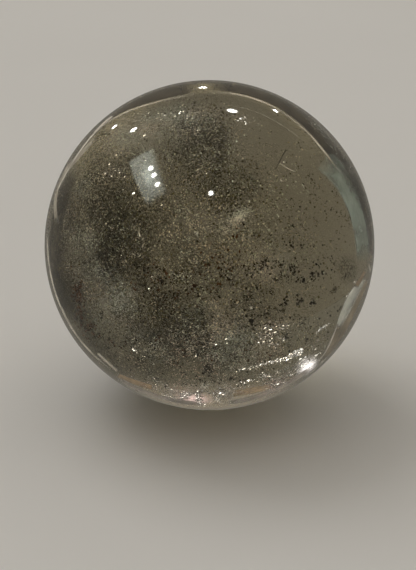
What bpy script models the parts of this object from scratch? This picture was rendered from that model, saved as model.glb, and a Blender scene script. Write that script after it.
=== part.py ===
"""Garden quartz sphere: one stone, ground and polished to a ball that rests on a small flat spot.

The stone is clear quartz with mineral grains and veils grown inside it. They are part of the same
crystal, so the whole object is one solid. Units are metres, +Z is up, and the origin is the middle
of the flat spot, where the ball stands on its surface.
"""

import math

import bmesh
import bpy

# Driving dimensions
DIAMETER = 0.080  # across the ball
FLAT_DIAMETER = 0.010  # across the flat spot ground on its underside
FLAT_EDGE_ROUNDING = 0.0004  # the polish softens the rim of the flat spot by this much

# How finely the round surface is divided. Both are multiples of four, so that the ball is
# exactly its diameter across along X and along Y, with a ring of points at its widest.
SEGMENTS = 96
RINGS = 44
ROUNDING_STEPS = 2

# The stone's look: clear, smoky taupe, with a high polish
STONE_COLOUR = (0.40, 0.36, 0.30, 1.0)
STONE_ROUGHNESS = 0.02
QUARTZ_IOR = 1.544

# Worked out from the driving dimensions
RADIUS = DIAMETER / 2
FLAT_RADIUS = FLAT_DIAMETER / 2
CENTRE_HEIGHT = math.sqrt(RADIUS**2 - FLAT_RADIUS**2)  # of the ball's centre above the flat spot

OBJECT_NAME = "garden quartz sphere"


def clear_scene():
    for obj in list(bpy.data.objects):
        bpy.data.objects.remove(obj, do_unlink=True)


def new_collection(name):
    collection = bpy.data.collections.new(name)
    bpy.context.scene.collection.children.link(collection)
    return collection


def polished_quartz():
    material = bpy.data.materials.new("polished_quartz")
    material.use_nodes = True
    shader = material.node_tree.nodes["Principled BSDF"]
    shader.inputs["Base Color"].default_value = STONE_COLOUR
    shader.inputs["Roughness"].default_value = STONE_ROUGHNESS
    shader.inputs["Metallic"].default_value = 0.0
    shader.inputs["Transmission Weight"].default_value = 1.0
    shader.inputs["IOR"].default_value = QUARTZ_IOR
    return material


def cut_off_level(ball):
    """Cuts the ball off at the height of its flat spot and returns the edges of the open rim."""
    cut = bmesh.ops.bisect_plane(
        ball,
        geom=ball.verts[:] + ball.edges[:] + ball.faces[:],
        plane_co=(0, 0, -CENTRE_HEIGHT),
        plane_no=(0, 0, -1),
        clear_outer=True,
    )
    return [item for item in cut["geom_cut"] if isinstance(item, bmesh.types.BMEdge)]


def widen_rim(rim):
    """Moves the rim out onto the true sphere, because the cut ran through flat facets inside it."""
    for corner in {corner for edge in rim for corner in edge.verts}:
        corner.co.xy = corner.co.xy.normalized() * FLAT_RADIUS


def grind_flat_spot(mesh):
    """Gives the ball, whose centre is at the mesh's origin, its flat spot with a softened rim."""
    ball = bmesh.new()
    ball.from_mesh(mesh)
    rim = cut_off_level(ball)
    widen_rim(rim)
    bmesh.ops.contextual_create(ball, geom=rim)
    bmesh.ops.bevel(
        ball,
        geom=rim,
        offset=FLAT_EDGE_ROUNDING,
        segments=ROUNDING_STEPS,
        profile=0.5,
        affect="EDGES",
    )
    bmesh.ops.recalc_face_normals(ball, faces=ball.faces)
    ball.to_mesh(mesh)
    ball.free()


def make_sphere(collection):
    """Makes the stone with the middle of its flat spot at the world's origin."""
    bpy.ops.mesh.primitive_uv_sphere_add(
        segments=SEGMENTS,
        ring_count=RINGS,
        radius=RADIUS,
        location=(0, 0, CENTRE_HEIGHT),
    )
    sphere = bpy.context.object
    sphere.name = "quartz_sphere"
    sphere.data.name = "quartz_sphere"
    grind_flat_spot(sphere.data)
    sphere.data.materials.append(polished_quartz())
    sphere.data.shade_smooth()
    for holder in list(sphere.users_collection):
        holder.objects.unlink(sphere)
    collection.objects.link(sphere)
    return sphere


def main():
    clear_scene()
    make_sphere(new_collection(OBJECT_NAME))


main()
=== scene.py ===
# %% [markdown]
# # A garden quartz sphere
# This file builds the look of one polished stone: a ball of clear smoky quartz, as wide as a
# hand can hold, that stands on a small flat spot. Quartz like this is called garden quartz,
# because the minerals that it grew around look like moss, soil and mist under water.
# The stone is one solid. Everything inside it is modelled as real small shapes, so that it
# shifts and magnifies through the polished surface as it does in the real thing.

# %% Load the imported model
import math
from collections import namedtuple

import bpy
import numpy as np
from mathutils import Matrix, Vector, noise


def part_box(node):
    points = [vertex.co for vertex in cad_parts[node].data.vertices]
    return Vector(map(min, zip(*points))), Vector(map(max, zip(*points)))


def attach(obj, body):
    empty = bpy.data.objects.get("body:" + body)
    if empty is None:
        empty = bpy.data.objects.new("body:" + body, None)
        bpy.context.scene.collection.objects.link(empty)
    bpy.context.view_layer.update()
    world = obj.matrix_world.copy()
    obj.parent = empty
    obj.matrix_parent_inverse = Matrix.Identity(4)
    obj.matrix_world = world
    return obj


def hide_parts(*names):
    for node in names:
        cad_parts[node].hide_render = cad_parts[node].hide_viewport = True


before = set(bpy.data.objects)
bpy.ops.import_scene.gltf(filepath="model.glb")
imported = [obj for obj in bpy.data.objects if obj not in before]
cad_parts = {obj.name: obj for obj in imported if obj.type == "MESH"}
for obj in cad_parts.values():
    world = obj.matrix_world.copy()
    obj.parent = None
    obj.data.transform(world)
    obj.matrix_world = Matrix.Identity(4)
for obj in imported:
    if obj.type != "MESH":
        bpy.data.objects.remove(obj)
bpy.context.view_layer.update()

low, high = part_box("quartz_sphere")
RADIUS = (high[0] - low[0]) / 2
CENTRE = np.array((0.0, 0.0, high[2] - RADIUS))
MM = 0.001
print(f"the ball is {2 * RADIUS / MM:.1f} mm across, its centre {CENTRE[2] / MM:.2f} mm up")

# %% [markdown]
# ## The camera
# A ball looks the same from every side, so the view is told by what is inside it and by the
# height of the eye. Here the eye is close to the stone and a little above it. The lens is
# long enough that the ball's outline stays round.

# %% Camera
EYE_DISTANCE = 8.66 * RADIUS
EYE_RISE = math.radians(21.07)
EYE_PITCH = math.radians(22.66)
EYE_ASIDE = -0.009 * RADIUS
LENS = 89.6

camera = bpy.data.objects.new("camera", bpy.data.cameras.new("camera"))
bpy.context.scene.collection.objects.link(camera)
camera.location = (
    EYE_ASIDE,
    -EYE_DISTANCE * math.cos(EYE_RISE),
    CENTRE[2] + EYE_DISTANCE * math.sin(EYE_RISE),
)
camera.rotation_euler = (math.pi / 2 - EYE_PITCH, 0, 0)
camera.data.lens = LENS
bpy.context.scene.camera = camera
print(f"the eye is {EYE_DISTANCE / MM:.0f} mm from the ball's centre")

# %% [markdown]
# ## Helpers for modelling
# Blender's operators act on whatever is selected, so each step starts from an empty
# selection. Every finished piece keeps its place in its mesh, with its object at the
# origin, so that patterns in its material stay where they are when it is moved or exported.


# %% Select, edit and finish
def deselect():
    if bpy.context.object and bpy.context.object.mode != "OBJECT":
        bpy.ops.object.mode_set(mode="OBJECT")
    bpy.ops.object.select_all(action="DESELECT")


def pick(obj):
    """Selects one object alone and makes it the active one."""
    deselect()
    obj.select_set(True)
    bpy.context.view_layer.objects.active = obj


def edit():
    """Opens the active object in edit mode with all of it selected."""
    bpy.ops.object.mode_set(mode="EDIT")
    bpy.ops.mesh.select_mode(type="VERT")
    bpy.ops.mesh.select_all(action="SELECT")


def settle(obj):
    """Leaves edit mode and moves the object's place, turn and size into its mesh."""
    pick(obj)
    bpy.ops.object.transform_apply(location=True, rotation=True, scale=True)


def triangles(obj):
    return sum(len(face.vertices) - 2 for face in obj.data.polygons)


# %% [markdown]
# ## Helpers for materials
# A material is a small program made of nodes. Writing it as plain arithmetic keeps it
# readable: `Wire` holds the output of a node, and adding, subtracting or multiplying wires
# adds the Math nodes that do it.


# %% Shader maths
class Wire:
    """The output of a node, which can be used in plain arithmetic."""

    def __init__(self, tree, socket=None):
        self.tree = tree
        self.socket = socket

    def node(self, kind, settings, sockets, output=0):
        """Adds a node: its settings first, then the values or wires of its sockets."""
        made = self.tree.nodes.new("ShaderNode" + kind)
        for name, value in settings.items():
            if name == "stops":
                set_stops(made.color_ramp, value)
            else:
                setattr(made, name, value)
        for name, value in sockets.items():
            if isinstance(value, Wire):
                self.tree.links.new(value.socket, made.inputs[name])
            else:
                made.inputs[name].default_value = value
        return Wire(self.tree, made.outputs[output])

    def maths(self, operation, first, second):
        return self.node("Math", {"operation": operation}, {0: first, 1: second})

    def __add__(self, other):
        return self.maths("ADD", self, other)

    def __radd__(self, other):
        return self.maths("ADD", other, self)

    def __sub__(self, other):
        return self.maths("SUBTRACT", self, other)

    def __rsub__(self, other):
        return self.maths("SUBTRACT", other, self)

    def __mul__(self, other):
        return self.maths("MULTIPLY", self, other)

    def __rmul__(self, other):
        return self.maths("MULTIPLY", other, self)

    def vector_maths(self, operation, other):
        """A number from this vector and another one, such as their distance."""
        return self.node(
            "VectorMath", {"operation": operation}, {0: self, 1: other}, output="Value"
        )

    def part(self, axis):
        """The X, Y or Z of this vector."""
        return self.node("SeparateXYZ", {}, {0: self}, output=axis)

    def noise(self, scale, detail=3.0):
        """Cloudy noise over the piece, `scale` patches to a metre, from 0 to 1."""
        return self.node(
            "TexNoise", {}, {"Vector": self, "Scale": scale, "Detail": detail}
        )

    def fade(self, start, end):
        """0 at start, 1 at end, and a smooth change between them."""
        return self.node(
            "MapRange", {"interpolation_type": "SMOOTHSTEP"},
            {"Value": self, "From Min": start, "From Max": end},
        )

    def ramp(self, *stops):
        """A colour for each value between 0 and 1."""
        return self.node("ValToRGB", {"stops": stops}, {"Fac": self})

    def mixed(self, how, other, factor=1.0):
        """This colour and another one, in one of the Mix node's ways."""
        return self.node(
            "Mix", {"data_type": "RGBA", "blend_type": how},
            {"Factor": factor, "A": self, "B": other}, output="Result",
        )


def set_stops(ramp, stops):
    while len(ramp.elements) < len(stops):
        ramp.elements.new(0.5)
    for element, (place, colour) in zip(ramp.elements, stops):
        element.position = place
        element.color = (*colour, 1.0)


# %% [markdown]
# Most of the minerals here have one kind of finish: a cloudy noise across the piece sets both
# how dark a spot is and how dull, as no two grains of a mineral are quite alike.


# %% Finishes
def start_material(name, **fixed):
    """A new material, its Principled shader and a wire of the place on the piece."""
    material = bpy.data.materials.new(name)
    material.use_nodes = True
    shader = material.node_tree.nodes["Principled BSDF"]
    for socket, value in fixed.items():
        shader.inputs[socket.replace("_", " ")].default_value = value
    place = Wire(material.node_tree).node("TexCoord", {}, {}, output="Object")
    return material, shader, place


def plug(wire, shader, socket):
    wire.tree.links.new(wire.socket, shader.inputs[socket])


def uv_of(place):
    """A wire of the place on the piece's own UV map."""
    return place.node("TexCoord", {}, {}, output="UV")


def mottled(place, colour):
    """The colour, warmer and cooler in patches a centimetre wide that all pieces share."""
    tint = place.noise(110, 2).ramp((0.42, (1.09, 0.96, 0.90)), (0.58, (0.94, 1.01, 0.99)))
    return colour.mixed("MULTIPLY", tint)


def mineral(name, scale, dark, light, smoothest, rougher, detail=3.0, **fixed):
    """Its colour goes from dark to light, and its roughness up by `rougher`, with one noise."""
    material, shader, place = start_material(name, **fixed)
    shade = place.noise(scale, detail)
    plug(shade.ramp(dark, light), shader, "Base Color")
    plug(smoothest + rougher * shade, shader, "Roughness")
    return material


# %% [markdown]
# ## The clear stone
# The ball is ground and polished to a mirror gloss. Its colour is not on its surface: light
# is dimmed and warmed on its way through the stone, a little for each millimetre. So the
# surface is plain clear quartz, and the body of the ball absorbs light. The ball starts as
# a sphere primitive, fine enough that refraction shows no facets. It is cut level at the
# height of the flat spot, and the new edge is bevelled, as the polish leaves it.

# %% Clear stone
STONE_SEGMENTS = 256
STONE_RINGS = 128
SPOT_SOFTENING = 0.4 * MM
SMOOTH_UP_TO = math.radians(4)  # keeps the flat spot's rim

deselect()
bpy.ops.mesh.primitive_uv_sphere_add(
    segments=STONE_SEGMENTS, ring_count=STONE_RINGS, radius=RADIUS, location=CENTRE
)
stone = bpy.context.object
stone.name = "clear_stone"
edit()
bpy.ops.mesh.bisect(
    plane_co=(0, 0, low[2]), plane_no=(0, 0, 1), clear_inner=True, use_fill=True
)
bpy.ops.mesh.bevel(offset=SPOT_SOFTENING, segments=2, affect="EDGES")
settle(stone)
bpy.ops.object.shade_smooth_by_angle(angle=SMOOTH_UP_TO)
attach(stone, "root")
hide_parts("quartz_sphere")
print("clear stone:", triangles(stone), "triangles")

# %% Finish of the clear stone
QUARTZ_IOR = 1.544
SMOKY_TINT = (0.29, 0.235, 0.045, 1.0)
TINT_PER_METRE = 29.3


def polished_quartz():
    material, shader, place = start_material(
        "polished_quartz",
        Base_Color=(1.0, 1.0, 1.0, 1.0),
        Transmission_Weight=1.0,
        IOR=QUARTZ_IOR,
    )
    plug(0.004 + 0.03 * place.noise(160), shader, "Roughness")
    body = place.node(
        "VolumeAbsorption", {}, {"Color": SMOKY_TINT, "Density": TINT_PER_METRE}
    )
    plug(body, material.node_tree.nodes["Material Output"], "Volume")
    return material


stone.data.materials.append(polished_quartz())

# %% [markdown]
# ## Looking into the stone
# A ball of quartz bends each line of sight, so what seems to be near its edge lies deeper
# and nearer its middle. To set a grain where it should be seen, a line is followed from the
# eye to the ball, bent at the surface by Snell's law, and walked for part of its way. The
# same is done for an eye that has gone a third of the way round the ball, and two thirds,
# so that the stone has its garden on every side.

# %% Follow a line of sight into the stone
SKIN = 0.9 * MM  # the outermost layer, in which nothing grows


def unit_rows(rows):
    return rows / np.linalg.norm(rows, axis=1, keepdims=True)


def bend_in(lines, outward):
    """Snell's law for lines that enter the stone where its surface faces outward."""
    slant = -np.sum(lines * outward, axis=1)
    bent_slant = np.sqrt(1 - (1 - slant**2) / QUARTZ_IOR**2)
    return lines / QUARTZ_IOR + (slant / QUARTZ_IOR - bent_slant)[:, None] * outward


def look_in(x, y, turn=0.0):
    """Where lines of sight enter the ball, counted from its centre, and their way inside.

    x and y are where they are seen, right and up in ball radii from the ball's middle, and
    turn is how far the eye has gone round the ball.
    """
    away = np.array(
        (
            math.sin(turn) * math.cos(EYE_RISE),
            -math.cos(turn) * math.cos(EYE_RISE),
            math.sin(EYE_RISE),
        )
    )
    right = np.array((math.cos(turn), math.sin(turn), 0.0))
    up = np.cross(away, right)
    spread = math.tan(math.asin(RADIUS / EYE_DISTANCE))
    lines = unit_rows(-away + spread * (np.outer(x, right) + np.outer(y, up)))
    along = EYE_DISTANCE * lines @ away
    reach = -along - np.sqrt(np.maximum(along**2 - EYE_DISTANCE**2 + RADIUS**2, 0.0))
    entry = EYE_DISTANCE * away + reach[:, None] * lines
    return entry, bend_in(lines, entry / RADIUS)


def seen_at(x, y, depth, turn=0.0):
    """Places inside the stone that are seen at x, y, at depths from 0, front, to 1, back."""
    entry, way = look_in(x, y, turn)
    chord = -2 * np.sum(entry * way, axis=1)
    spots = entry + (depth * chord)[:, None] * way
    far = np.linalg.norm(spots, axis=1, keepdims=True)
    return CENTRE + spots * np.minimum(1.0, (RADIUS - SKIN) / far)


# %% [markdown]
# ## Sowing small things
# Each kind of grain, thread or flake is modelled once or a few times. Thousands of copies
# are then turned, sized and joined into one mesh with array arithmetic, which takes
# seconds. Where they go is drawn by chance from soft patches, and a cloudy noise inside the
# patches gathers them into clumps and leaves gaps, as growth does.

# %% Draw places by chance
Side = namedtuple("Side", "turn deep reach share")
# turn of the eye, how deep its garden goes, how far out it reaches, share of the copies
SIDES = (
    Side(0.0, 1.0, 0.98, 1.0),
    Side(math.radians(120), 0.28, 0.72, 0.6),
    Side(math.radians(240), 0.28, 0.72, 0.6),
)
PATCH_SPREAD = 0.55  # of the copies, as a share of the patch's half width and height
CLOUD = (0.8, 2.1, 4)  # how soft the noise is, how much finer each layer, and how many
BETWEEN = 0.45  # share of the draws that may grow between clumps too, where some stray
KNOT_SIZE = 0.32 * MM  # how far apart those of one knot lie
FAR_END = 0.85  # how nearly a place behind lies on the camera's line, as a cosine


def draw_spots(chance, patches, count, side, stray=0.0, clumps=9.0, knot=1):
    """Draws x, y and depth from soft patches, each a row of eight numbers as named below.

    stray lets some grow between the clumps of the noise, of which there are about `clumps`
    to a ball radius, and up to `knot` grow in one place.
    """
    wanted = int(count * side.share)
    table = np.array(patches, dtype=float)
    odds = table[:, 5] / table[:, 5].sum()
    spots = np.empty((0, 3))
    while len(spots) < wanted:
        x0, y0, wide, tall, lean, _, near, far = table[
            chance.choice(len(table), size=wanted, p=odds)
        ].T
        u, v = PATCH_SPREAD * chance.normal(size=(2, wanted))
        x = x0 + u * wide * np.cos(lean) - v * tall * np.sin(lean)
        y = y0 + u * wide * np.sin(lean) + v * tall * np.cos(lean)
        drawn = np.column_stack((x, y, side.deep * chance.uniform(near, far)))
        places = (drawn + (0, 0, side.turn)) * clumps
        cloud = np.array([noise.fractal(Vector(place), *CLOUD) for place in places])
        grows = cloud > stray * (chance.random(wanted) - BETWEEN)
        kept = (np.hypot(x, y) < side.reach) & grows
        drawn = np.repeat(drawn[kept], chance.integers(1, knot + 1, size=kept.sum()), axis=0)
        spots = np.concatenate((spots, drawn))
    return spots[:wanted]


def behind(places):
    """Places that the camera sees last and largest, at the far end of the ball."""
    inside = unit_rows(places - CENTRE)
    return inside @ unit_rows(np.array([CENTRE - np.array(camera.location)]))[0] > FAR_END


def draw_places(chance, patches, count, side, knot=1, **habit):
    x, y, depth = draw_spots(chance, patches, count, side, knot=knot, **habit).T
    places = seen_at(x, y, depth, side.turn)
    places = places + chance.normal(size=places.shape) * KNOT_SIZE * (knot > 1)
    return places[~behind(places)]


def draw_sizes(chance, count, middle, spread):
    """Sizes about a middle one. spread is how much they differ, as a power of e."""
    return middle * np.exp(spread * chance.normal(size=count))


def any_turn(chance, count):
    """Turns that favour no direction, as matrices."""
    w, x, y, z = unit_rows(chance.normal(size=(count, 4))).T
    return np.stack(
        (
            1 - 2 * (y * y + z * z), 2 * (x * y - z * w), 2 * (x * z + y * w),
            2 * (x * y + z * w), 1 - 2 * (x * x + z * z), 2 * (y * z - x * w),
            2 * (x * z - y * w), 2 * (y * z + x * w), 1 - 2 * (x * x + y * y),
        ),
        axis=1,
    ).reshape(count, 3, 3)


# %% Copy shapes to the places
def shape_of(obj):
    """Takes a modelled shape apart into its points and triangles, and removes the object."""
    settle(obj)
    mesh = obj.data
    mesh.calc_loop_triangles()
    points = np.array([point.co for point in mesh.vertices])
    faces = np.array([face.vertices[:] for face in mesh.loop_triangles])
    bpy.data.objects.remove(obj, do_unlink=True)
    return points, faces


def sow(name, shapes, spots, sizes, turns):
    """Joins copies of the shapes, one on each spot, into one piece."""
    points, faces, used = [], [], 0
    for kind, (shape, shape_faces) in enumerate(shapes):
        mine = slice(kind, None, len(shapes))
        copies = np.einsum("nij,pj->npi", turns[mine], shape)
        copies = copies * sizes[mine, None, None] + spots[mine, None, :]
        starts = used + len(shape) * np.arange(len(copies))
        points.append(copies.reshape(-1, 3))
        faces.append((shape_faces[None] + starts[:, None, None]).reshape(-1, 3))
        used += len(shape) * len(copies)
    mesh = bpy.data.meshes.new(name)
    mesh.from_pydata(np.concatenate(points).tolist(), [], np.concatenate(faces).tolist())
    piece = bpy.data.objects.new(name, mesh)
    bpy.context.scene.collection.objects.link(piece)
    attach(piece, "root")
    print(f"{name}: {len(spots)} copies, {triangles(piece)} triangles")
    return piece


def sow_all_round(name, shapes, patches, count, size, spread, seed, **habit):
    """Sows the patches as seen from three sides."""
    chance = np.random.default_rng(seed)
    spots = np.concatenate(
        [draw_places(chance, patches, count, side, **habit) for side in SIDES]
    )
    sizes = draw_sizes(chance, len(spots), size, spread)
    return sow(name, shapes, spots, sizes, any_turn(chance, len(spots)))


# %% [markdown]
# ## Dark grains
# The specks that look like grains of soil are small dark crystals, some alone and some in
# knots of up to five. Each is a rough little block: an icosphere with its corners pushed
# about, flattened, and cut by a plane so that it has a crystal face.


# %% Dark grains
def grain_shape(seed, flatten, cut):
    deselect()
    bpy.ops.mesh.primitive_ico_sphere_add(subdivisions=1, radius=0.5)
    grain = bpy.context.object
    edit()
    bpy.ops.transform.vertex_random(offset=0.16, seed=seed)
    bpy.ops.transform.resize(value=flatten)
    bpy.ops.mesh.select_all(action="SELECT")
    bpy.ops.mesh.bisect(
        plane_co=Vector(cut) * 0.3, plane_no=cut, clear_outer=True, use_fill=True
    )
    return shape_of(grain)


GRAINS = [
    grain_shape(3, (1.0, 0.7, 0.6), (0.8, 0.5, 0.33)),
    grain_shape(8, (1.0, 0.85, 0.5), (-0.5, 0.8, 0.33)),
    grain_shape(14, (0.8, 0.7, 0.7), (0.3, -0.6, 0.74)),
]
print("grain shapes:", [len(faces) for _, faces in GRAINS], "triangles")

# x, y, half width, half height, lean, share, nearest and farthest depth
DARK_PATCHES = [
    (0.63, -0.16, 0.11, 0.09, 0.0, 6, 0.06, 0.12),
    (0.44, -0.352, 0.018, 0.014, 0.3, 1.3, 0.06, 0.08),
    (0.55, -0.335, 0.018, 0.014, 0.0, 1.3, 0.06, 0.08),
    (0.628, -0.349, 0.014, 0.014, 0.0, 0.9, 0.06, 0.08),
    (0.367, -0.285, 0.022, 0.012, 0.3, 1.1, 0.06, 0.08),
    (0.342, -0.40, 0.03, 0.02, 0.4, 1.2, 0.06, 0.08),
    (0.616, -0.17, 0.02, 0.02, 0.0, 1.0, 0.06, 0.08),
    (0.33, -0.12, 0.16, 0.05, 0.0, 5, 0.08, 0.2),
    (0.44, -0.26, 0.34, 0.24, 0.0, 9, 0.08, 0.2),
    (0.00, -0.30, 0.35, 0.20, 0.2, 14, 0.08, 0.3),
    (-0.35, -0.20, 0.20, 0.14, 0.0, 9, 0.08, 0.3),
    (-0.62, -0.08, 0.16, 0.12, 0.0, 6, 0.08, 0.3),
    (-0.79, -0.36, 0.04, 0.14, 0.3, 6, 0.03, 0.06),
    (-0.10, -0.60, 0.60, 0.24, 0.1, 36, 0.06, 0.25),
    (-0.01, -0.76, 0.025, 0.02, 0.0, 2.0, 0.05, 0.08),
    (0.05, -0.84, 0.55, 0.05, 0.0, 9, 0.03, 0.08),
    (0.42, 0.05, 0.28, 0.30, 0.0, 5, 0.08, 0.3),
]
dark_grains = sow_all_round(
    "dark_grains", GRAINS, DARK_PATCHES, 1300, size=0.48 * MM, spread=0.25, seed=11,
    stray=0.9, knot=5,
)
dark_grains.data.materials.append(
    mineral(
        "dark_mineral", 900, (0.35, (0.002, 0.002, 0.001)), (0.7, (0.020, 0.013, 0.007)),
        0.35, 0.4, Specular_IOR_Level=0.1,
    )
)

# %% [markdown]
# ## Smoke
# The darker clouds are made of specks too fine to be told apart. They are modelled the same
# way as the grains, only smaller and far more of them, in the patches where the stone
# darkens: high in the middle, on the left, and low down.

# %% Smoke
deselect()
bpy.ops.mesh.primitive_cone_add(vertices=3, radius1=0.5, depth=0.6, end_fill_type="NGON")
speck = bpy.context.object
edit()
bpy.ops.transform.vertex_random(offset=0.12, seed=5)
SPECKS = [shape_of(speck)]
print("speck shape:", [len(faces) for _, faces in SPECKS], "triangles")

SMOKE_PATCHES = [
    (-0.10, 0.58, 0.17, 0.30, 0.0, 18, 0.1, 0.6),
    (0.05, 0.62, 0.10, 0.22, 0.0, 8, 0.1, 0.6),
    (0.14, 0.36, 0.17, 0.16, 0.0, 12, 0.1, 0.6),
    (0.25, 0.50, 0.04, 0.04, 0.0, 2, 0.1, 0.3),
    (-0.57, 0.10, 0.20, 0.18, 0.0, 16, 0.1, 0.6),
    (-0.62, -0.08, 0.20, 0.12, 0.0, 9, 0.1, 0.6),
    (-0.40, -0.50, 0.22, 0.16, 0.0, 10, 0.1, 0.6),
    (-0.88, 0.05, 0.09, 0.60, 0.0, 16, 0.03, 0.2),
    (-0.78, -0.42, 0.09, 0.45, 0.5, 10, 0.03, 0.2),
    (-0.05, -0.62, 0.60, 0.18, 0.1, 18, 0.1, 0.6),
    (-0.10, -0.32, 0.60, 0.40, 0.1, 26, 0.1, 0.5),
    (0.45, -0.45, 0.45, 0.35, 0.1, 10, 0.1, 0.5),
    (-0.45, 0.40, 0.35, 0.40, 0.0, 14, 0.1, 0.5),
    (0.45, 0.20, 0.40, 0.50, 0.0, 12, 0.1, 0.5),
    (0.10, 0.02, 0.40, 0.25, 0.0, 6, 0.1, 0.5),
    (0.766, -0.26, 0.03, 0.015, 0.9, 0.8, 0.1, 0.2),
    (-0.93, 0.05, 0.04, 0.60, 0.0, 12, 0.03, 0.15),
    (-0.60, -0.28, 0.25, 0.20, 0.0, 12, 0.05, 0.3),
]
smoke = sow_all_round(
    "smoke", SPECKS, SMOKE_PATCHES, 17500, size=0.26 * MM, spread=0.35, seed=12, stray=0.7
)
smoke.data.materials.append(
    mineral(
        "smoke_mineral", 500, (0.35, (0.040, 0.035, 0.018)), (0.7, (0.18, 0.158, 0.076)),
        0.5, 0.3, Specular_IOR_Level=0.1,
    )
)

# %% [markdown]
# ## Pale dust
# Between the dark specks lie pale ones, of the same shape. Together they give the stone its
# mottled, frothy look: grey-green on the left, and rosy along the bottom.

# %% Pale dust
DUST_PATCHES = [
    (-0.80, 0.10, 0.12, 0.26, 0.0, 18, 0.05, 0.3),
    (-0.60, 0.00, 0.30, 0.30, 0.0, 8, 0.05, 0.4),
    (-0.68, -0.22, 0.14, 0.16, 0.0, 8, 0.05, 0.4),
    (-0.05, 0.60, 0.25, 0.30, 0.0, 14, 0.05, 0.4),
    (-0.45, 0.60, 0.30, 0.20, 0.5, 10, 0.05, 0.4),
    (0.35, 0.25, 0.40, 0.40, 0.0, 14, 0.05, 0.4),
    (0.15, -0.05, 0.40, 0.25, 0.0, 12, 0.05, 0.4),
    (-0.05, 0.08, 0.32, 0.24, 0.0, 14, 0.04, 0.2),
    (0.17, 0.17, 0.11, 0.03, 0.7, 4, 0.04, 0.1),
    (0.00, -0.35, 0.70, 0.35, 0.1, 18, 0.05, 0.4),
    (0.05, -0.65, 0.60, 0.20, 0.1, 34, 0.04, 0.25),
    (-0.05, -0.90, 0.45, 0.06, 0.0, 44, 0.02, 0.08),
    (0.40, -0.84, 0.35, 0.05, 0.45, 18, 0.02, 0.10),
]
dust = sow_all_round(
    "pale_dust", SPECKS, DUST_PATCHES, 14500, size=0.23 * MM, spread=0.35, seed=16, stray=0.7
)


def pale_mineral():
    """Rosy up to 15 mm above the flat spot, and greyer from there up to 40 mm."""
    material, shader, place = start_material("pale_mineral", Specular_IOR_Level=0.1)
    shade = place.noise(400)
    low_down = 1.6 - 40.0 * place.part("Z")
    grey = shade.ramp((0.35, (0.48, 0.47, 0.37)), (0.65, (0.86, 0.84, 0.71)))
    rosy = shade.ramp((0.35, (0.62, 0.50, 0.42)), (0.65, (0.95, 0.84, 0.76)))
    plug(mottled(place, grey.mixed("MIX", rosy, low_down)), shader, "Base Color")
    plug(0.4 + 0.3 * shade, shader, "Roughness")
    return material


dust.data.materials.append(pale_mineral())

# %% [markdown]
# ## Moss threads
# On the clouds lie fine pale strokes, each a curled thread half a millimetre long or so. A
# thread is a three-sided rod, spun round part of a circle, so it costs few faces. In the
# middle of the stone the threads are duller.


# %% Moss threads
def thread_shape(bend, seed):
    """A thread one unit long: a small triangle spun about an axis beside it."""
    reach = 1.0 / math.radians(bend)
    deselect()
    bpy.ops.mesh.primitive_circle_add(
        vertices=3, radius=0.065, fill_type="NGON", location=(reach, 0, 0),
        rotation=(math.pi / 2, 0, 0),
    )
    thread = bpy.context.object
    edit()
    bpy.ops.mesh.spin(
        steps=2, angle=math.radians(bend), center=(0, 0, 0), axis=(0, 0, 1)
    )
    bpy.ops.mesh.select_all(action="SELECT")
    bpy.ops.transform.vertex_random(offset=0.05, seed=seed)
    bpy.ops.mesh.normals_make_consistent(inside=False)
    points, faces = shape_of(thread)
    return points - points.mean(axis=0), faces


THREADS = [thread_shape(60, 1), thread_shape(120, 2), thread_shape(200, 3)]
print("thread shapes:", [len(faces) for _, faces in THREADS], "triangles")

MOSS_PATCHES = [
    (-0.05, 0.60, 0.18, 0.28, 0.0, 16, 0.05, 0.4),
    (0.14, 0.38, 0.17, 0.17, 0.0, 6, 0.05, 0.4),
    (-0.45, 0.45, 0.25, 0.25, 0.4, 12, 0.05, 0.4),
    (-0.80, 0.10, 0.12, 0.28, 0.0, 18, 0.05, 0.4),
    (-0.60, 0.00, 0.20, 0.20, 0.0, 14, 0.05, 0.4),
    (-0.65, -0.30, 0.18, 0.18, 0.0, 10, 0.05, 0.4),
    (-0.35, -0.35, 0.25, 0.25, 0.0, 10, 0.05, 0.4),
    (0.20, 0.00, 0.45, 0.30, 0.0, 8, 0.05, 0.3),
    (-0.10, 0.06, 0.30, 0.26, 0.0, 12, 0.04, 0.2),
    (0.42, 0.10, 0.30, 0.30, 0.0, 6, 0.04, 0.2),
    (0.00, -0.62, 0.60, 0.20, 0.1, 36, 0.04, 0.25),
]
moss = sow_all_round(
    "moss_threads", THREADS, MOSS_PATCHES, 5200, size=0.54 * MM, spread=0.50, seed=13, stray=1.0
)
DULL_MIDDLE = seen_at(0.05, -0.03, 0.1)[0]
DULL_REACH = 18 * MM
DULLEST_REACH = 8 * MM


def moss_mineral():
    material, shader, place = start_material("moss_mineral", Specular_IOR_Level=0.1)
    off_middle = place.vector_maths("DISTANCE", DULL_MIDDLE)
    shade = place.noise(260, 4)
    lively = shade - 0.10 * off_middle.fade(DULL_REACH, DULLEST_REACH)
    colour = lively.ramp(
        (0.38, (0.15, 0.14, 0.11)), (0.57, (0.42, 0.40, 0.33)), (0.73, (0.94, 0.91, 0.80))
    )
    plug(mottled(place, colour), shader, "Base Color")
    plug(0.4 + 0.3 * shade, shader, "Roughness")
    return material


moss.data.materials.append(moss_mineral())

# %% [markdown]
# ## Glitter
# Where a crack has healed, it leaves a film of tiny flat bubbles. Each is a mirror, and a
# whole streak of them flashes when the light comes from the right side. So the flakes of a
# streak are not turned by chance: each is set half way between the line of sight and the
# ray from the nearest lamp, both bent by the ball's surface, and then turned a little off it.


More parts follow.
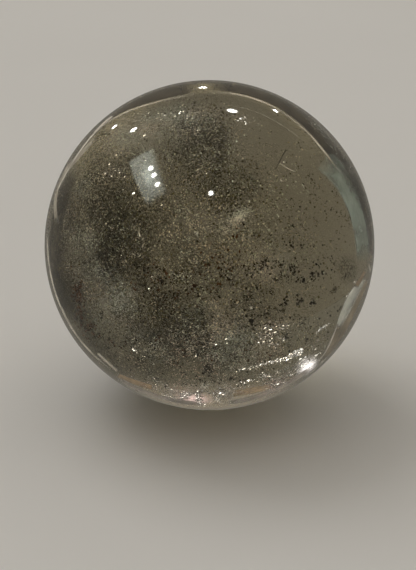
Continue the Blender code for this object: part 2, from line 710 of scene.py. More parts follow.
# %% Where the lamps hang
def reflected_place(x, y, distance):
    """Where a lamp hangs whose reflection is seen at x, y on the front of the ball."""
    entry = look_in(x, y)[0][0]
    outward = Vector(entry / RADIUS)
    line = (Vector(CENTRE + entry) - camera.location).normalized()
    return Vector(CENTRE + entry) + distance * (line - 2 * line.dot(outward) * outward)


SOFT_DISTANCE = 1.2
FRONT_PLACE = reflected_place(-0.25, 0.32, SOFT_DISTANCE)
RIGHT_PLACE = reflected_place(0.50, 0.10, SOFT_DISTANCE)
LEFT_PLACE = reflected_place(-0.50, 0.10, SOFT_DISTANCE)
LOW_PLACE = reflected_place(0.03, -0.13, SOFT_DISTANCE)
print("the front lamp hangs at", [round(part, 2) for part in FRONT_PLACE])


# %% Flakes that mirror a lamp
def lamp_for(spots):
    """The lamp that a flake on each spot mirrors, which is the nearest one."""
    lamps = np.array((FRONT_PLACE, RIGHT_PLACE, LEFT_PLACE, LOW_PLACE))
    return lamps[np.argmin(np.linalg.norm(spots[:, None] - lamps[None], axis=2), axis=1)]


def ray_from(lamp, spots):
    """The way in which light from a lamp reaches places inside the stone."""
    inside = spots - CENTRE
    ray = unit_rows(spots - lamp)
    way = ray
    for _ in range(8):
        back = -way
        along = np.sum(inside * back, axis=1)
        gap = RADIUS**2 - np.sum(inside**2, axis=1)
        meets = inside + (np.sqrt(along**2 + gap) - along)[:, None] * back
        way = bend_in(ray, unit_rows(meets))
    return way


def facing(normals, along):
    """Turns that bring the up axis of each copy to its normal, and its X axis along a streak."""
    slant = np.sum(normals * along, axis=1, keepdims=True)
    side = unit_rows(along - slant * normals)
    return np.stack((side, np.cross(normals, side), normals), axis=2)


def draw_mirrors(chance, patches, count, side):
    """Places, their lines of sight, and the normals with which a mirror there shows a lamp."""
    x, y, depth = draw_spots(chance, patches, count, side, clumps=14).T
    spots = seen_at(x, y, depth, side.turn)
    sight = look_in(x, y, side.turn)[1]
    return spots, sight, unit_rows(-sight - ray_from(lamp_for(spots), spots))


def flake_shape(seed, slim):
    deselect()
    bpy.ops.mesh.primitive_circle_add(vertices=6, radius=0.5, fill_type="NGON")
    flake = bpy.context.object
    edit()
    bpy.ops.transform.vertex_random(offset=0.12, seed=seed)
    bpy.ops.transform.resize(value=(1.0, slim, 0.0))
    bpy.ops.mesh.extrude_region_move(TRANSFORM_OT_translate={"value": (0, 0, 0.05)})
    bpy.ops.mesh.select_all(action="SELECT")
    bpy.ops.mesh.normals_make_consistent(inside=False)
    return shape_of(flake)


FLAKES = [flake_shape(1, 0.45), flake_shape(2, 0.30), flake_shape(3, 0.20)]
print("flake shapes:", [len(faces) for _, faces in FLAKES], "triangles")

# %% Streaks of glitter
GLITTER_PATCHES = [
    (0.34, -0.715, 0.16, 0.008, 0.26, 8, 0.06, 0.12),
    (0.52, -0.648, 0.13, 0.007, 0.47, 15, 0.06, 0.10),
    (0.52, -0.665, 0.10, 0.006, 0.47, 9, 0.06, 0.10),
    (0.58, -0.73, 0.07, 0.040, 0.70, 12, 0.03, 0.08),
    (0.385, -0.54, 0.09, 0.060, 0.60, 6, 0.06, 0.20),
    (0.69, -0.50, 0.05, 0.008, 0.60, 1, 0.04, 0.08),
    (0.33, -0.80, 0.25, 0.030, 0.35, 9, 0.04, 0.12),
    (-0.09, -0.925, 0.16, 0.045, 0.00, 64, 0.02, 0.05),
    (0.05, -0.90, 0.35, 0.040, 0.05, 24, 0.02, 0.06),
    (-0.30, -0.87, 0.20, 0.040, -0.30, 10, 0.02, 0.08),
    (0.42, -0.83, 0.22, 0.025, 0.45, 16, 0.02, 0.08),
    (0.00, -0.60, 0.60, 0.200, 0.10, 6, 0.05, 0.30),
    (-0.22, 0.80, 0.16, 0.050, -0.10, 2.5, 0.05, 0.20),
    (0.20, 0.76, 0.07, 0.030, 0.00, 1.5, 0.05, 0.20),
    (-0.58, 0.45, 0.08, 0.060, 0.00, 1.5, 0.05, 0.20),
    (-0.448, -0.638, 0.015, 0.006, -0.40, 0.7, 0.05, 0.10),
    (-0.375, -0.626, 0.015, 0.006, -0.30, 0.7, 0.05, 0.10),
    (0.038, -0.598, 0.008, 0.008, 0.00, 0.5, 0.05, 0.10),
    (0.251, -0.376, 0.006, 0.006, 0.00, 0.3, 0.05, 0.10),
    (-0.20, 0.10, 0.70, 0.700, 0.00, 5, 0.05, 0.30),
    (0.86, -0.26, 0.012, 0.05, -0.45, 1, 0.03, 0.06),
    (0.73, 0.385, 0.008, 0.020, 0.30, 0.6, 0.03, 0.06),
    (0.85, 0.460, 0.008, 0.030, 0.45, 0.6, 0.03, 0.05),
    (0.70, 0.670, 0.008, 0.008, 0.00, 0.4, 0.03, 0.05),
    (0.34, 0.596, 0.006, 0.006, 0.00, 0.3, 0.03, 0.06),
]
FLAKE_TURN_OFF = 0.13
STREAK_WAY = np.array((0.90, 0.10, 0.42))

mirror_chance = np.random.default_rng(14)
glitter_spots, glitter_normals = [], []
for side in SIDES:
    spots, _, halfway = draw_mirrors(mirror_chance, GLITTER_PATCHES, 4200, side)
    turned_off = FLAKE_TURN_OFF * mirror_chance.normal(size=halfway.shape)
    glitter_spots.append(spots[~behind(spots)])
    glitter_normals.append(unit_rows(halfway + turned_off)[~behind(spots)])
glitter_spots = np.concatenate(glitter_spots)
glitter = sow(
    "glitter", FLAKES, glitter_spots,
    draw_sizes(mirror_chance, len(glitter_spots), 0.24 * MM, 0.50),
    facing(np.concatenate(glitter_normals), STREAK_WAY),
)
glitter.data.materials.append(
    mineral(
        "glitter_film", 700, (0.3, (0.90, 0.84, 0.74)), (0.65, (0.99, 0.98, 0.95)),
        0.04, 0.14, Metallic=1.0,
    )
)

# %% [markdown]
# Along the lower edge the film has healed in long bubbles like fine needles, which lie along
# the edge. A needle flashes far more easily than a flake, because its round side turns a
# mirror to every lamp that it faces. So they are smooth-shaded rods.

# %% Needles
NEEDLES = [thread_shape(12, 4), thread_shape(35, 5)]
NEEDLE_PATCHES = [
    (-0.09, -0.925, 0.15, 0.045, 0.00, 18, 0.02, 0.05),
    (0.12, -0.900, 0.28, 0.050, 0.10, 5, 0.02, 0.05),
    (0.44, -0.810, 0.22, 0.050, 0.50, 5, 0.02, 0.05),
    (-0.36, -0.860, 0.16, 0.040, -0.35, 3, 0.02, 0.05),
    (0.53, -0.650, 0.13, 0.008, 0.47, 1.5, 0.06, 0.10),
    (0.39, -0.540, 0.09, 0.060, 0.60, 1.0, 0.06, 0.15),
]
NEEDLE_TURN_OFF = 0.15

needle_spots, needle_turns = [], []
for side in SIDES:
    spots, sight, halfway = draw_mirrors(mirror_chance, NEEDLE_PATCHES, 800, side)
    edgewise = unit_rows(np.cross(spots - CENTRE, sight))
    turned_off = NEEDLE_TURN_OFF * mirror_chance.normal(size=edgewise.shape)
    length = unit_rows(edgewise + turned_off)
    needle_spots.append(spots)
    needle_turns.append(facing(halfway, np.cross(length, halfway)))
needle_spots = np.concatenate(needle_spots)
needles = sow(
    "needles", NEEDLES, needle_spots,
    draw_sizes(mirror_chance, len(needle_spots), 0.70 * MM, 0.45),
    np.concatenate(needle_turns),
)
needles.data.shade_smooth()
needles.data.materials.append(
    mineral(
        "needle_film", 500, (0.3, (0.88, 0.76, 0.68)), (0.65, (0.99, 0.95, 0.91)),
        0.12, 0.18, Metallic=1.0,
    )
)

# %% [markdown]
# ## Rust
# Low on the left, and thinly through the middle, knots of the same grains have rusted to
# brown.

# %% Rust grains
RUST_PATCHES = [
    (-0.80, -0.32, 0.035, 0.12, 0.25, 12, 0.03, 0.06),
    (-0.73, -0.50, 0.05, 0.09, 0.4, 7, 0.03, 0.06),
    (-0.55, -0.62, 0.08, 0.05, 0.3, 3, 0.05, 0.2),
    (0.05, -0.10, 0.20, 0.14, 0.0, 8, 0.1, 0.4),
    (-0.20, -0.28, 0.25, 0.12, 0.0, 10, 0.1, 0.4),
    (0.00, -0.65, 0.40, 0.12, 0.0, 6, 0.1, 0.3),
]
rust = sow_all_round(
    "rust_grains", GRAINS, RUST_PATCHES, 650, size=0.46 * MM, spread=0.30, seed=15,
    stray=0.8, knot=4,
)
rust.data.materials.append(
    mineral(
        "rusty_mineral", 800, (0.35, (0.040, 0.018, 0.009)), (0.7, (0.13, 0.060, 0.030)),
        0.5, 0.3, Specular_IOR_Level=0.1,
    )
)

# %% [markdown]
# ## Mist and veils
# Healed cracks also show as films, thin as breath: clouds of dark or pale mist, and a few
# smooth veils with a clear edge. Some films near the ball's edge are painted shade and
# painted light instead. Each film starts as a grid, which is laid where it should be seen
# and given a thin wall. Its material lets most light through, fades towards the edges of
# the film and is speckled by a fine noise.

# %% Films
FILM_WALL = 0.03 * MM
FARTHEST_OUT = 0.988
RIPPLES = 4
FILM_SMOOTH_UP_TO = math.radians(50)


def film(name, steps, along_across, depth, turn, ripple):
    """A grid that is laid as seen: along_across turns u, v from -1 to 1 into x, y."""
    deselect()
    bpy.ops.mesh.primitive_grid_add(x_subdivisions=steps[0], y_subdivisions=steps[1], size=2.0)
    sheet = bpy.context.object
    sheet.name = name
    sheet.data.name = name
    flat = np.zeros(len(sheet.data.vertices) * 3)
    sheet.data.vertices.foreach_get("co", flat)
    x, y = along_across(*flat.reshape(-1, 3)[:, :2].T)
    inside = np.minimum(1.0, FARTHEST_OUT / np.hypot(x, y).clip(1e-6))
    x, y = x * inside, y * inside
    waves = np.array([noise.noise(Vector((u, v, turn)) * RIPPLES) for u, v in zip(x, y)])
    places = seen_at(x, y, depth + ripple * waves, turn)
    sheet.data.vertices.foreach_set("co", places.ravel())
    wall = sheet.modifiers.new("wall", "SOLIDIFY")
    wall.thickness = FILM_WALL
    wall.offset = 0
    bpy.ops.object.modifier_apply(modifier=wall.name)
    bpy.ops.object.shade_smooth_by_angle(angle=FILM_SMOOTH_UP_TO)
    return sheet


def join(name, parts):
    pick(parts[0])
    for part in parts:
        part.select_set(True)
    if len(parts) > 1:
        bpy.ops.object.join()
    parts[0].name = name
    parts[0].data.name = name
    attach(parts[0], "root")
    print(f"{name}: {triangles(parts[0])} triangles")
    return parts[0]


# %% Mist
MIST_STEPS = (16, 16)
MIST_RIPPLE = 0.06


def mist(name, patches, finish):
    """Clouds of mist. Each patch is x, y, half width, half height, lean and depth."""
    parts = []
    for turn, deep, reach, _ in SIDES:
        for x0, y0, wide, tall, lean, depth in patches:
            def spread(u, v):
                x = x0 + u * wide * math.cos(lean) - v * tall * math.sin(lean)
                y = y0 + u * wide * math.sin(lean) + v * tall * math.cos(lean)
                return x * reach, y * reach

            parts.append(
                film(name, MIST_STEPS, spread, depth * deep, turn, MIST_RIPPLE * deep)
            )
    join(name, parts).data.materials.append(finish)


def mist_film(name, thin, thick, strength, patch, grain):
    """A speckled mist that fades out around its middle."""
    material, shader, place = start_material(name, Roughness=0.7, Specular_IOR_Level=0.1)
    out = uv_of(place).vector_maths("DISTANCE", (0.5, 0.5, 0.0))
    clouds = place.noise(patch, 4).fade(0.35, 0.62)
    specks = place.noise(grain, 2)
    plug(mottled(place, specks.ramp((0.4, thin), (0.6, thick))), shader, "Base Color")
    cover = out.fade(0.5, 0.1) * clouds * (0.25 + 1.1 * specks.fade(0.42, 0.62))
    plug(strength * cover, shader, "Alpha")
    return material


# The long shallow strips along the left edge darken the rim there and are painted shade; the other
# patches are dark mist in the stone.
DARK_MIST_AND_SHADE = [
    (-0.08, 0.60, 0.30, 0.40, 0.0, 0.22),
    (-0.02, 0.62, 0.22, 0.36, 0.3, 0.30),
    (0.14, 0.37, 0.28, 0.26, 0.0, 0.25),
    (-0.52, 0.10, 0.30, 0.36, 0.2, 0.22),
    (-0.45, 0.10, 0.45, 0.60, 0.0, 0.32),
    (-0.60, -0.10, 0.32, 0.26, 0.0, 0.18),
    (-0.38, -0.50, 0.36, 0.28, 0.0, 0.22),
    (-0.45, -0.30, 0.60, 0.55, 0.0, 0.30),
    (-0.05, -0.60, 0.70, 0.32, 0.1, 0.25),
    (-0.05, -0.32, 0.50, 0.42, 0.1, 0.35),
    (0.05, -0.45, 0.45, 0.30, 0.1, 0.20),
    (-0.70, 0.35, 0.30, 0.40, -0.5, 0.15),
    (-0.88, 0.05, 0.16, 0.75, 0.0, 0.06),
    (-0.80, -0.35, 0.20, 0.50, 0.4, 0.06),
    (-0.90, 0.05, 0.12, 0.80, 0.0, 0.10),
    (-0.86, -0.30, 0.14, 0.60, 0.3, 0.10),
    (0.85, -0.15, 0.10, 0.12, 0.0, 0.05),
    (-0.35, -0.76, 0.30, 0.10, -0.3, 0.12),
    (-0.62, -0.70, 0.25, 0.08, -0.75, 0.08),
]
mist(
    "dark_mist_and_shade", DARK_MIST_AND_SHADE,
    mist_film("dark_mist_and_shade", (0.10, 0.090, 0.038), (0.022, 0.020, 0.008), 0.36, 70, 2400),
)

PALE_MIST = [
    (-0.80, 0.10, 0.18, 0.45, 0.1, 0.12),
    (-0.35, 0.75, 0.55, 0.20, 0.3, 0.12),
    (0.32, -0.18, 0.32, 0.26, 0.0, 0.20),
    (-0.62, -0.36, 0.26, 0.28, 0.2, 0.10),
    (0.00, -0.60, 0.70, 0.35, 0.1, 0.15),
    (0.00, -0.92, 0.60, 0.09, 0.0, 0.03),
    (0.48, -0.80, 0.40, 0.09, 0.6, 0.03),
]
mist(
    "pale_mist", PALE_MIST,
    mist_film("pale_mist", (0.40, 0.39, 0.31), (0.75, 0.73, 0.62), 0.20, 90, 2100),
)

# %% [markdown]
# A veil is a single film, and most are seen near the ball's edge. Each lies between two
# curves, an inner and an outer edge, which are given as a few points as they are seen. Its
# finish is streaked along its length and fades at its ends and edges.

# %% Veils
VEIL_STEPS = (48, 6)
VEIL_RIPPLE = 0.004


def curve(points, share):
    """Places on a smooth curve through a few points, at shares from 0 to 1 of its length."""
    stops = np.linspace(0, 1, len(points))
    order = min(3, len(points) - 1)
    return np.array([np.polyval(np.polyfit(stops, row, order), share) for row in zip(*points)])


def veil_sheet(name, inner, outer, depth):
    """A film between two edges, each a few points as seen, joined by a smooth curve."""
    def spread(u, v):
        share = (1 + v) / 2
        return (1 - share) * curve(inner, (1 + u) / 2) + share * curve(outer, (1 + u) / 2)

    return film(name, VEIL_STEPS, spread, depth, 0.0, VEIL_RIPPLE)


def framed(uv, left, right, near, far):
    """1 in the middle of a sheet, fading to 0 at its edges over these shares of it."""
    u = uv.part("X")
    v = uv.part("Y")
    ends = u.fade(0.0, left) * u.fade(1.0, 1.0 - right)
    return ends * v.fade(0.0, near) * v.fade(1.0, 1.0 - far)


def veil_film(name, tint, strength, near_fade, far_fade, end_fade=0.1):
    """Streaked along its length, and fading over a share of it at its edges and ends."""
    material, shader, place = start_material(name, Roughness=0.6, Specular_IOR_Level=0.1)
    uv = uv_of(place)
    shade = place.noise(240, 5)
    streaks = uv.node("Mapping", {}, {"Vector": uv, "Scale": (4.0, 24.0, 1.0)}).noise(1.0, 4)
    dull = [0.7 * part for part in tint]
    plug(shade.ramp((0.35, dull), (0.65, tint)), shader, "Base Color")
    cover = framed(uv, end_fade, end_fade, near_fade, far_fade)
    plug(strength * cover * (0.1 + 1.0 * shade + 0.8 * streaks), shader, "Alpha")
    return material


def veil(name, edges, depth, *finish):
    """One piece of veils, each from its inner to its outer edge, with one finish."""
    sheets = [veil_sheet(name, inner, outer, depth) for inner, outer in edges]
    join(name, sheets).data.materials.append(veil_film(name, *finish))


# after the edges: depth, colour, strength, and the fades of inner edge, outer edge and ends
GREEN_VEIL = (
    [(0.62, 0.47), (0.74, 0.36), (0.823, 0.246), (0.865, 0.11), (0.883, -0.03), (0.89, -0.11)],
    [(0.707, 0.572), (0.79, 0.52), (0.86, 0.42), (0.93, 0.25), (0.97, 0.05), (0.972, -0.11)],
)
veil("green_veil", [GREEN_VEIL], 0.04, (0.38, 0.44, 0.36), 0.60, 0.14, 0.15, 0.22)

TAN_VEIL = (
    [(0.945, -0.19), (0.86, -0.27), (0.80, -0.38), (0.765, -0.48), (0.72, -0.60), (0.655, -0.70)],
    [(0.980, -0.19), (0.955, -0.28), (0.915, -0.39), (0.85, -0.51), (0.775, -0.62),
     (0.69, -0.715)],
)
veil("tan_veil", [TAN_VEIL], 0.05, (0.44, 0.36, 0.24), 0.75, 0.15, 0.30)

PALE_BLADE = (
    [(0.935, -0.188), (0.883, -0.236), (0.841, -0.297), (0.810, -0.358), (0.786, -0.425),
     (0.766, -0.490)],
    [(0.955, -0.200), (0.925, -0.273), (0.892, -0.346), (0.862, -0.407), (0.826, -0.4675),
     (0.782, -0.520)],
)
veil("pale_blade", [PALE_BLADE], 0.035, (0.90, 0.90, 0.78), 0.95, 0.10, 0.55, 0.12)

LEFT_BLADE = (
    [(-0.905, 0.12), (-0.926, 0.279), (-0.8845, 0.396), (-0.803, 0.512), (-0.674, 0.653)],
    [(-0.940, 0.12), (-0.945, 0.30), (-0.900, 0.42), (-0.82, 0.54), (-0.67, 0.68)],
)
veil("left_blade", [LEFT_BLADE], 0.05, (0.80, 0.72, 0.58), 0.50, 0.12, 0.12)

AMBER_RIGHT = (
    [(0.13, -0.925), (0.251, -0.906), (0.38, -0.870)],
    [(0.15, -0.875), (0.251, -0.8565), (0.385, -0.834)],
)
veil("amber_veil_right", [AMBER_RIGHT], 0.04, (0.95, 0.72, 0.46), 0.85, 0.25, 0.25)

AMBER_LEFT = (
    [(-0.575, -0.800), (-0.4638, -0.846), (-0.34, -0.880)],
    [(-0.555, -0.770), (-0.452, -0.811), (-0.335, -0.845)],
)
veil("amber_veil_left", [AMBER_LEFT], 0.04, (0.82, 0.60, 0.37), 0.80, 0.25, 0.25)

# A dark film just inside the left edge: painted shade that darkens the rim there.
PAINTED_LEFT_SHADE = [(-0.74, 0.48), (-0.855, 0.25), (-0.89, 0.0), (-0.865, -0.25), (-0.76, -0.47)]
SHADE_WIDENING = 1.09
painted_left_shade_outer = [(SHADE_WIDENING * x, SHADE_WIDENING * y) for x, y in PAINTED_LEFT_SHADE]
veil(
    "painted_left_shade", [(PAINTED_LEFT_SHADE, painted_left_shade_outer)],
    0.06, (0.080, 0.067, 0.042), 0.90, 0.4, 0.2, 0.25,
)

BLADE_TIP = (
    [(0.872, -0.250), (0.892, -0.215), (0.915, -0.180), (0.935, -0.140)],
    [(0.900, -0.262), (0.920, -0.225), (0.940, -0.188), (0.952, -0.150)],
)
veil("blade_tip", [BLADE_TIP], 0.03, (0.44, 0.33, 0.21), 0.70, 0.2, 0.2, 0.15)

# %% [markdown]
# Near its edge the ball squeezes what lies just inside it into a thin crescent. The cream arc
# along the top and the pale lines on the left and low down are narrow films there, painted
# light that stands in for the bright lines that a clear ball's edge bends and mirrors. Outside
# the arc, and along the right, a darker film is painted shade that darkens the edge.


# %% Films along the edge
def outside(points, wide):
    """The points moved out from the middle of the ball, as seen, by a width."""
    return [
        (x * (1 + wide / math.hypot(x, y)), y * (1 + wide / math.hypot(x, y)))
        for x, y in points
    ]


# Pale lines and short strokes along the left, right and lower edge: painted light, in place of the
# bright lines and highlights that the edge of a clear ball shows.
# points along the inner edge, and the width, in ball radii
PAINTED_EDGE_LIGHTS = [
    ([(-0.972, 0.12), (-0.973, -0.05), (-0.940, -0.26), (-0.86, -0.435), (-0.75, -0.605),
      (-0.57, -0.765)], 0.014),
    ([(-0.895, -0.36), (-0.874, -0.413), (-0.843, -0.474), (-0.82, -0.51)], 0.016),
    ([(-0.665, -0.65), (-0.649, -0.668), (-0.582, -0.729), (-0.56, -0.75)], 0.020),
    ([(-0.93, 0.30), (-0.86, 0.44), (-0.74, 0.62), (-0.60, 0.75)], 0.012),
    ([(-0.70, 0.665), (-0.67, 0.70), (-0.62, 0.745), (-0.57, 0.785)], 0.018),
    ([(0.952, -0.09), (0.966, -0.135), (0.970, -0.165), (0.965, -0.20), (0.952, -0.23)], 0.012),
    ([(0.575, -0.795), (0.615, -0.765), (0.66, -0.725), (0.725, -0.655)], 0.016),
    ([(0.780, -0.455), (0.755, -0.516), (0.725, -0.589), (0.692, -0.650), (0.643, -0.705)],
     0.015),
]
veil(
    "painted_edge_lights", [(points, outside(points, wide)) for points, wide in PAINTED_EDGE_LIGHTS],
    0.03, (0.98, 0.90, 0.76), 0.85, 0.5, 0.4, 0.2,
)

# A cream band along the lower edge, left and right: painted light, where the ball gathers light.
PAINTED_LOWER_LIGHTS = [
    ([(0.06, -0.945), (0.30, -0.895), (0.48, -0.815), (0.64, -0.705)], 0.035),
    ([(-0.56, -0.785), (-0.40, -0.870), (-0.22, -0.925), (0.00, -0.950)], 0.030),
]
veil(
    "painted_lower_lights", [(points, outside(points, wide)) for points, wide in PAINTED_LOWER_LIGHTS],
    0.035, (0.98, 0.88, 0.78), 0.95, 0.3, 0.3, 0.2,
)

# The cream arc along the top is painted light: a bright line in place of light seen through the
# ball's edge.
ARC_WIDTH = 0.013
PAINTED_LIGHT_ARC = [
    [(-0.671, 0.709), (-0.556, 0.773), (-0.452, 0.822), (-0.298, 0.865), (-0.042, 0.921)],
    [(-0.043, 0.921), (0.191, 0.900), (0.394, 0.827), (0.526, 0.740), (0.649, 0.605),
     (0.737, 0.506), (0.810, 0.409)],
]
veil(
    "painted_light_arc", [(points, outside(points, ARC_WIDTH)) for points in PAINTED_LIGHT_ARC],
    0.03, (0.95, 0.85, 0.69), 0.52, 0.5, 0.4, 0.2,
)

# A dark film outside the arc and along the right edge: painted shade that darkens the rim.
PAINTED_SHADE_FROM = 0.012
PAINTED_SHADE_TO = 0.085
RIGHT_RIM = [(0.805, 0.41), (0.885, 0.27), (0.930, 0.10), (0.945, -0.06)]
veil(
    "painted_shade_rim",
    [(outside(points, PAINTED_SHADE_FROM), outside(points, PAINTED_SHADE_TO)) for points in PAINTED_LIGHT_ARC + [RIGHT_RIM]],
    0.045, (0.080, 0.066, 0.043), 1.10, 0.12, 0.10, 0.15,
)

# %% [markdown]
# ## Hairlines
# The edges of healed cracks show as lines finer than a hair. Each is drawn as a curve along
# a few places as they are seen, given a round thickness and turned into a mesh.


# %% Hairlines
def hairline(points, depth, thickness):
    """A line through points as seen, thinner towards its ends."""
    fine = np.linspace(0, 1, 8 * len(points))
    places = seen_at(*curve(points, fine), np.full(len(fine), depth))
    stroke = bpy.data.curves.new("hairline", "CURVE")
    stroke.dimensions = "3D"
    stroke.bevel_depth = thickness / 2
    stroke.bevel_resolution = 1
    stroke.use_fill_caps = True
    line = stroke.splines.new("POLY")
    line.points.add(len(places) - 1)
    line.points.foreach_set("co", np.hstack((places, np.ones((len(places), 1)))).ravel())
    line.points.foreach_set("radius", 0.25 + 3.0 * fine * (1 - fine))
    drawn = bpy.data.objects.new("hairline", stroke)
    bpy.context.scene.collection.objects.link(drawn)
    pick(drawn)
    bpy.ops.object.convert(target="MESH")
    return bpy.context.object


def hairlines(name, lines, finish):
    """Each line is its points as seen, its depth and its thickness in millimetres."""
    drawn = [hairline(points, depth, wide * MM) for points, depth, wide in lines]
    join(name, drawn).data.materials.append(finish)


PALE_LINES = [
    ([(0.10, 0.845), (0.30, 0.80), (0.48, 0.70), (0.60, 0.60)], 0.05, 0.10),
    ([(0.427, 0.50), (0.474, 0.466), (0.52, 0.449)], 0.15, 0.25),
    ([(0.44, 0.41), (0.43, 0.395), (0.46, 0.39)], 0.15, 0.25),
    ([(0.661, -0.530), (0.684, -0.495), (0.737, -0.4717)], 0.08, 0.35),
    ([(0.25, -0.745), (0.36, -0.715), (0.4517, -0.680), (0.54, -0.64), (0.61, -0.598)],
     0.12, 0.22),
    ([(0.57, -0.69), (0.59, -0.675), (0.605, -0.69), (0.60, -0.715)], 0.06, 0.30),
    ([(0.50, -0.80), (0.40, -0.84), (0.30, -0.865)], 0.05, 0.25),
    ([(-0.30, -0.49), (-0.10, -0.565), (0.05, -0.60)], 0.15, 0.06),
]
hairlines(
    "pale_hairlines", PALE_LINES,
    mineral(
        "pale_hairline", 350, (0.35, (0.45, 0.40, 0.32)), (0.65, (0.96, 0.92, 0.82)),
        0.3, 0.4, detail=4, Specular_IOR_Level=0.3,
    ),
)
DARK_LINES = [
    ([(0.39, 0.456), (0.42, 0.50), (0.45, 0.56), (0.474, 0.572)], 0.15, 0.20),
    ([(0.10, 0.40), (0.16, 0.46), (0.22, 0.49)], 0.15, 0.14),
    ([(0.905, -0.235), (0.925, -0.205), (0.950, -0.165)], 0.05, 0.40),
]
hairlines(
    "dark_hairlines", DARK_LINES,
    mineral(
        "dark_hairline", 350, (0.35, (0.02, 0.018, 0.012)), (0.65, (0.10, 0.09, 0.06)),
        0.3, 0.4, detail=4, Specular_IOR_Level=0.3,
    ),
)

# %% [markdown]
# ## Studio
# The stone stands on a wide, plain, pale floor under one large soft lamp. A polished ball
# mirrors all that is around it, and a bright floor in its polish would hide what grows
# inside. So the floor isn't seen in reflections.

# %% Floor
FLOOR_RADIUS = 10.0
FLOOR_DROP = 0.1 * MM  # keeps the floor and the flat spot from sharing a plane

deselect()
bpy.ops.mesh.primitive_circle_add(
    vertices=96, radius=FLOOR_RADIUS, fill_type="NGON", location=(0, 0, -FLOOR_DROP)
)
floor = bpy.context.object
floor.name = "floor"
floor_material, floor_shader, floor_place = start_material("floor_paper", Roughness=0.7)
tone = floor_place.noise(3)
plug(
    tone.ramp((0.3, (0.80, 0.775, 0.735)), (0.7, (0.84, 0.815, 0.775))),
    floor_shader,
    "Base Color",
)
floor.data.materials.append(floor_material)
floor.visible_glossy = False
print(f"the floor is {2 * FLOOR_RADIUS:.0f} m across")

# %% Fill lamp
FILL_PLACE = (-2.0, 2.0, 4.0)
FILL_SIZE = 3.0
FILL_WATTS = 45.0


def turned(place, aim, up):
    """A place, with the turn of something there that faces the aim."""
    back = (Vector(place) - Vector(aim)).normalized()
    side = Vector(up).cross(back).normalized()
    turn = Matrix((side, back.cross(side), back)).transposed()
    return Matrix.Translation(place) @ turn.to_4x4()


fill = bpy.data.objects.new("fill", bpy.data.lights.new("fill", "AREA"))
bpy.context.scene.collection.objects.link(fill)
fill.data.size = FILL_SIZE
fill.data.energy = FILL_WATTS
fill.matrix_world = turned(FILL_PLACE, (0, 0, 0), (0, 0, 1))
fill.visible_glossy = False
fill.visible_transmission = False
print(f"the fill lamp is {FILL_SIZE:.0f} m wide and gives {FILL_WATTS:.0f} W")

# %% [markdown]
# All other lamps are cards that glow, brightest in the middle and fading to nothing. Four
# large ones in front light the garden through the stone. Nine small ones and the key are
# seen only in the polish, each as a bright point or patch with a soft edge, so a card is
# wider than the point it makes. Two more stand behind the ball. They are seen only through
# it, where the ball gathers their light at its lower edge.


# %% Glowing cards
def glow_finish(name, tint, strength, cover):
    """Glows with one colour. cover turns the card's UV place into how solid it is."""
    material, shader, place = start_material(
        name, Base_Color=(0.0, 0.0, 0.0, 1.0), Specular_IOR_Level=0.0,
        Emission_Color=(*tint, 1.0), Emission_Strength=strength,
    )
    plug(cover(uv_of(place)), shader, "Alpha")
    return material


def round_cover(uv):
    near = uv.vector_maths("DISTANCE", (0.5, 0.5, 0.0)).fade(0.5, 0.0)
    return near * near * near


def soft_cover(uv):
    return framed(uv, 0.3, 0.3, 0.3, 0.3)


def key_cover(uv):
    return framed(uv, 0.10, 0.25, 0.20, 0.07) * (0.35 + 0.65 * round_cover(uv))


def glowing_card(name, place, size, finish, seen_in, up=(0, 0, 1)):
    """seen_in is glossy for a card that is seen in the polish, transmission through it."""
    deselect()
    bpy.ops.mesh.primitive_plane_add(size=1.0)
    card = bpy.context.object
    card.name = name
    card.matrix_world = turned(place, CENTRE, up) @ Matrix.Diagonal((*size, 1.0, 1.0))
    card.data.materials.append(finish)
    for kind in ("camera", "diffuse", "glossy", "transmission", "volume_scatter", "shadow"):
        setattr(card, f"visible_{kind}", kind == seen_in)
    print(f"card {name}: {size[0]:.2f} m by {size[1]:.2f} m")


# %% Cards that light the garden
for name, place, size, strength in (
    ("front", FRONT_PLACE, (1.10, 0.85), 8.0),
    ("right", RIGHT_PLACE, (1.10, 0.72), 5.6),
    ("left", LEFT_PLACE, (1.10, 0.72), 4.8),
    ("low", LOW_PLACE, (1.20, 0.34), 8.8),
):
    finish = glow_finish(name + "_glow", (1.0, 1.0, 1.0), strength, soft_cover)
    glowing_card(name, place, size, finish, "transmission")

# %% Lamps in the polish
LAMP_DISTANCE = 1.0
HALO = 2.4
# x and y where it is seen, and the width of its bright middle in metres
LAMPS = [
    (-0.041, 0.955, 0.026),
    (0.136, 0.815, 0.055),
    (0.397, 0.815, 0.026),
    (-0.576, 0.718, 0.026),
    (-0.460, 0.700, 0.042),
    (-0.357, 0.469, 0.048),
    (-0.338, 0.426, 0.048),
    (-0.318, 0.371, 0.048),
    (0.008, 0.317, 0.048),
]
lamp_finish = glow_finish("lamp_glow", (1.0, 0.98, 0.94), 110.0, round_cover)
for number, (x, y, wide) in enumerate(LAMPS):
    glowing_card(
        f"lamp_{number}", reflected_place(x, y, LAMP_DISTANCE), (HALO * wide, HALO * wide),
        lamp_finish, "glossy",
    )

KEY_DISTANCE = 1.1
KEY_MIDDLE = (-0.372, 0.42)
KEY_MARGIN = 1.15


def card_way(start, end, distance):
    """The way along a card from what is seen at start to what is seen at end."""
    return reflected_place(*end, distance) - reflected_place(*start, distance)


key_up = card_way((-0.323, 0.285), (-0.42, 0.554), KEY_DISTANCE)
key_side = card_way((-0.445, 0.40), (-0.30, 0.44), KEY_DISTANCE)
key_size = (KEY_MARGIN * key_side.length, KEY_MARGIN * key_up.length)
key_finish = glow_finish("key_glow", (0.92, 1.0, 0.90), 7.5, key_cover)
key_place = reflected_place(*KEY_MIDDLE, KEY_DISTANCE)
glowing_card("key", key_place, key_size, key_finish, "glossy", key_up)

# %% Cards behind the ball
back_finish = glow_finish("back_glow", (0.95, 0.76, 0.95), 5.0, round_cover)
back_place = reflected_place(0.09, 0.905, SOFT_DISTANCE)
glowing_card("back", back_place, (0.50, 0.66), back_finish, "transmission")

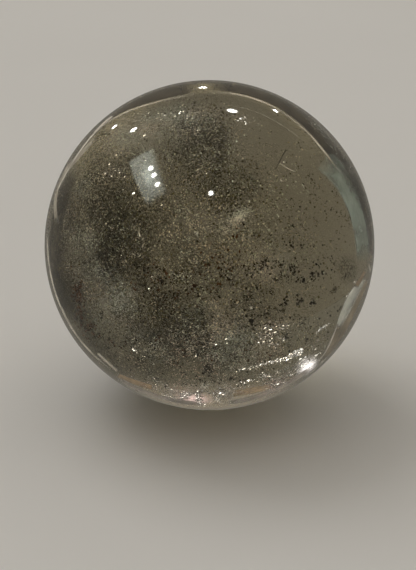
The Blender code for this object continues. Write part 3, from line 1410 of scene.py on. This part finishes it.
back_left_finish = glow_finish("back_left_glow", (0.72, 0.74, 1.0), 15.0, round_cover)
back_left_place = reflected_place(-0.565, 0.695, SOFT_DISTANCE)
back_left_up = card_way((-0.53, 0.65), (-0.60, 0.74), SOFT_DISTANCE)
glowing_card(
    "back_left", back_left_place, (0.28, 0.90), back_left_finish, "transmission", back_left_up
)

# %% [markdown]
# The world is a soft grey all round, paler at the horizon and overhead, and dimmer on the
# eye's side, which the front of the ball mirrors. Rays that have gone through the stone find
# a warm patch behind and above it, and what the polish mirrors is dimmed once more.

# %% World
TOWARD_EYE = (0.0, -0.94, 0.34)
BEHIND_ABOVE = (-0.03, 0.59, 0.81)
GREY = (0.42, 0.405, 0.375)
POLISH_DIMMING = (0.42, 0.40, 0.36, 1.0)

world = bpy.data.worlds.new("studio")
bpy.context.scene.world = world
world.use_nodes = True
sky = Wire(world.node_tree)
way = sky.node("TexCoord", {}, {}, output="Generated")
glow = way.part("Z").ramp(
    (0.0, (0.50, 0.49, 0.47)), (0.2, GREY), (0.7, GREY), (0.9, (0.70, 0.68, 0.65))
)
dimmed = way.vector_maths("DOT_PRODUCT", TOWARD_EYE).ramp(
    (0.3, (1.0, 1.0, 1.0)), (0.95, (0.30, 0.28, 0.23))
)
lit = way.vector_maths("DOT_PRODUCT", BEHIND_ABOVE).ramp(
    (0.84, (0.0, 0.0, 0.0)), (0.96, (0.85, 0.74, 0.68))
)
through_stone = sky.node("LightPath", {}, {}, output="Is Transmission Ray")
glossy = sky.node("LightPath", {}, {}, output="Is Glossy Ray")
in_polish = glossy * sky.node("LightPath", {}, {}, output="Is Reflection Ray")
shade = glow.mixed("MULTIPLY", dimmed)
shade = shade.mixed("ADD", lit, through_stone)
shade = shade.mixed("MULTIPLY", POLISH_DIMMING, in_polish)
plug(shade, world.node_tree.nodes["Background"], "Color")
print("the world has", len(world.node_tree.nodes), "nodes")

# %% [markdown]
# ## Light paths
# A ray on its way through the ball and its films crosses many surfaces, so it is allowed many
# bounces.

# %% Render settings that belong to the look
scene = bpy.context.scene
scene.view_settings.view_transform = "Standard"
scene.cycles.use_denoising = True
scene.cycles.max_bounces = 16
scene.cycles.transmission_bounces = 12
scene.cycles.transparent_max_bounces = 48
